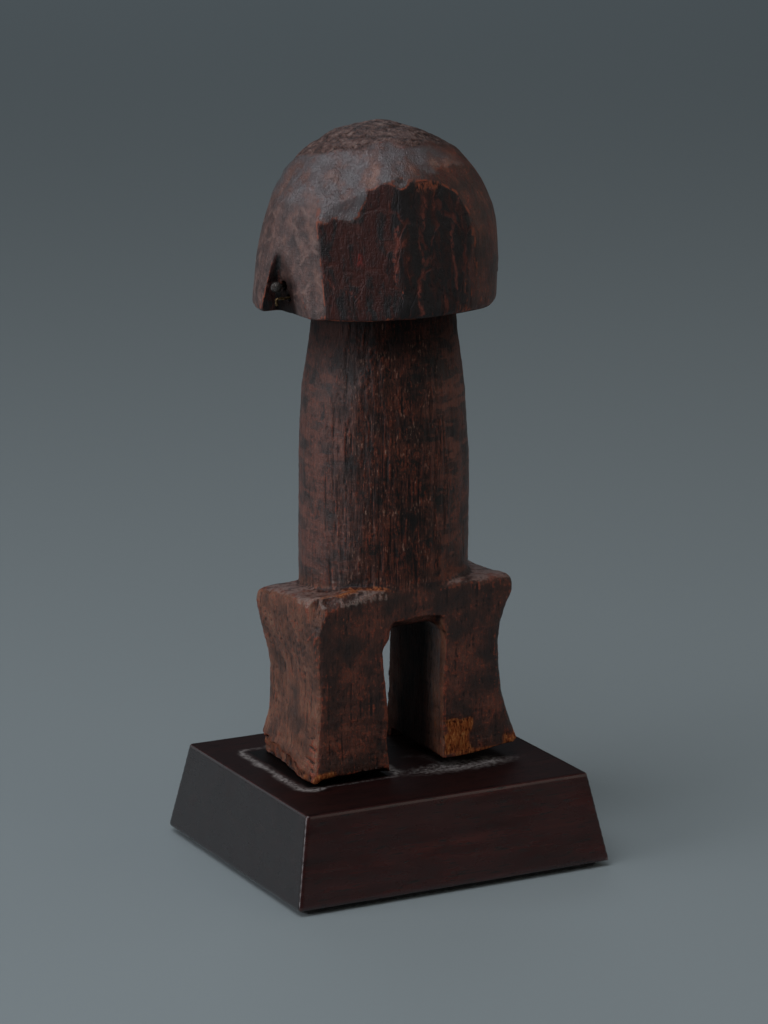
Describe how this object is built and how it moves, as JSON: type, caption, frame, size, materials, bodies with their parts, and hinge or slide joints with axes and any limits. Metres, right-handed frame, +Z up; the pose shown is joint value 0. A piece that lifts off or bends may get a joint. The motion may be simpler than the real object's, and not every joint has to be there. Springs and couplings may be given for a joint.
{
  "type": "fertility doll",
  "caption": "Carved wooden doll with a domed head, round torso and blocky legs, standing on pins in a tapered wooden display plinth.",
  "frame": {"origin": "centre of the underside of the felt pad, at the bottom centre of the whole object", "axes": "+Z up; +X across the doll's width, towards the right as its front is seen; the doll's front faces -Y. Left and right in node names are as seen from the front, so left is on -X"},
  "size_m": [0.0898, 0.0798, 0.1928],
  "materials": {
    "carved_wood": "hand-carved hardwood with a dark, greasy, worn patina",
    "stud_iron": "dark forged iron",
    "wire_brass": "tarnished brass wire",
    "plinth_mahogany": "dark red mahogany with a satin varnish",
    "pin_steel": "plain drawn steel rod",
    "felt": "black wool felt"
  },
  "bodies": {
    "base": {"plinth": "plinth_mahogany", "left_mount_pin": "pin_steel", "right_mount_pin": "pin_steel", "base_felt": "felt"},
    "figure": {"carved_figure": "carved_wood", "left_ear_stud": "stud_iron", "right_ear_stud": "stud_iron", "ear_wire": "wire_brass"}
  },
  "joints": [
    {"name": "figure_lift", "type": "slide", "parent": "base", "child": "figure", "axis": [0, 0, 1], "range_m": [0, 0.02]}
  ]
}
